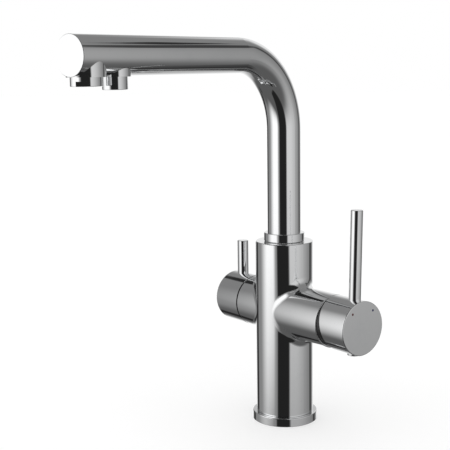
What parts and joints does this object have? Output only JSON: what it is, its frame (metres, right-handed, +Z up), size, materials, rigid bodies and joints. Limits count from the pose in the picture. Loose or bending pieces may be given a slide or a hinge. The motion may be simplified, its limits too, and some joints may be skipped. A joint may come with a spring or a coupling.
{
  "type": "three way filtered water tap",
  "caption": "Kitchen mixer tap with a swivelling tubular spout, separate outlets for mains and filtered water, a side lever mixer and a lever valve for filtered water opposite.",
  "frame": {"origin": "centre of the base ring's underside, on the column's axis, where the tap stands on the worktop", "axes": "+Z up the column, +X out along the mixer barrel, -X along the filter valve's barrel, -Y out over the sink towards the user"},
  "size_m": [0.1665, 0.2631, 0.333],
  "materials": {
    "chrome": "polished chrome plate",
    "brass": "machined brass",
    "steel": "stainless steel",
    "ceramic": "ground and lapped alumina",
    "white_plastic": "moulded acetal",
    "grey_plastic": "moulded, light grey",
    "dark_plastic": "moulded, polished black",
    "hose_plastic": "natural polyethylene",
    "rubber": "black EPDM",
    "hot_enamel": "dark red enamel",
    "cold_enamel": "dark blue enamel"
  },
  "bodies": {
    "tap_body": {"valve_body": "chrome", "base_ring": "chrome", "base_seal": "rubber", "glide_ring": "white_plastic", "spout_locking_screw": "steel", "cartridge_base": "white_plastic", "cartridge_port_seals": "rubber", "fixed_mixing_disc": "ceramic", "cartridge_housing": "white_plastic", "cartridge_nut": "brass", "mixer_dome": "dark_plastic", "filter_seat_seal": "rubber", "filter_fixed_disc": "ceramic", "filter_headwork": "brass"},
    "spout": {"spout_nipple": "brass", "nipple_bushes": "white_plastic", "nipple_o_rings": "rubber", "spigot_o_ring": "rubber", "spout_collar": "chrome", "spout_tube": "chrome", "spout_end_cap": "chrome", "filtered_water_hose": "hose_plastic", "aerator_boss": "chrome", "nozzle_boss": "chrome", "aerator_housing": "chrome", "nozzle_housing": "chrome", "aerator_insert": "grey_plastic", "nozzle_insert": "grey_plastic", "aerator_washer": "rubber", "nozzle_washer": "rubber"},
    "mixer_turret": {"cartridge_turret": "white_plastic", "turret_o_ring": "rubber", "stem_pivot_pin": "steel"},
    "mixing_slide": {"mixing_disc": "ceramic", "disc_carrier": "white_plastic"},
    "mixer_lever": {"mixer_stem": "steel", "mixer_cap": "chrome", "mixer_lever_pin": "chrome", "mixer_grub_screw": "steel", "mixer_screw_plug": "chrome", "hot_dot": "hot_enamel", "cold_dot": "cold_enamel"},
    "filter_handle": {"filter_spindle": "brass", "filter_moving_disc": "ceramic", "spindle_o_rings": "rubber", "spindle_clip": "steel", "filter_cap": "chrome", "filter_lever_pin": "chrome", "filter_grub_screw": "steel", "filter_screw_plug": "chrome"}
  },
  "joints": [
    {"name": "spout_swivel", "type": "hinge", "parent": "tap_body", "child": "spout", "pos_m": [0, 0, 0.16], "axis": [0, 0, 1], "continuous": true},
    {"name": "mixer_temperature", "type": "hinge", "parent": "tap_body", "child": "mixer_turret", "pos_m": [0.064, 0, 0.1], "axis": [1, 0, 0], "range_deg": [-45, 45]},
    {"name": "mixer_flow", "type": "hinge", "parent": "mixer_turret", "child": "mixer_lever", "pos_m": [0.064, 0, 0.1], "axis": [0, 1, 0], "range_deg": [0, 20]},
    {"name": "mixing_disc_slide", "type": "slide", "parent": "mixer_turret", "child": "mixing_slide", "axis": [0, 0, 1], "range_m": [0, 0.0046]},
    {"name": "filter_valve", "type": "hinge", "parent": "tap_body", "child": "filter_handle", "pos_m": [-0.0582, 0, 0.1], "axis": [1, 0, 0], "range_deg": [0, 90]}
  ],
  "couplings": [
    {"joint": "mixing_disc_slide", "follows": "mixer_flow", "m_per_rad": 0.013}
  ]
}
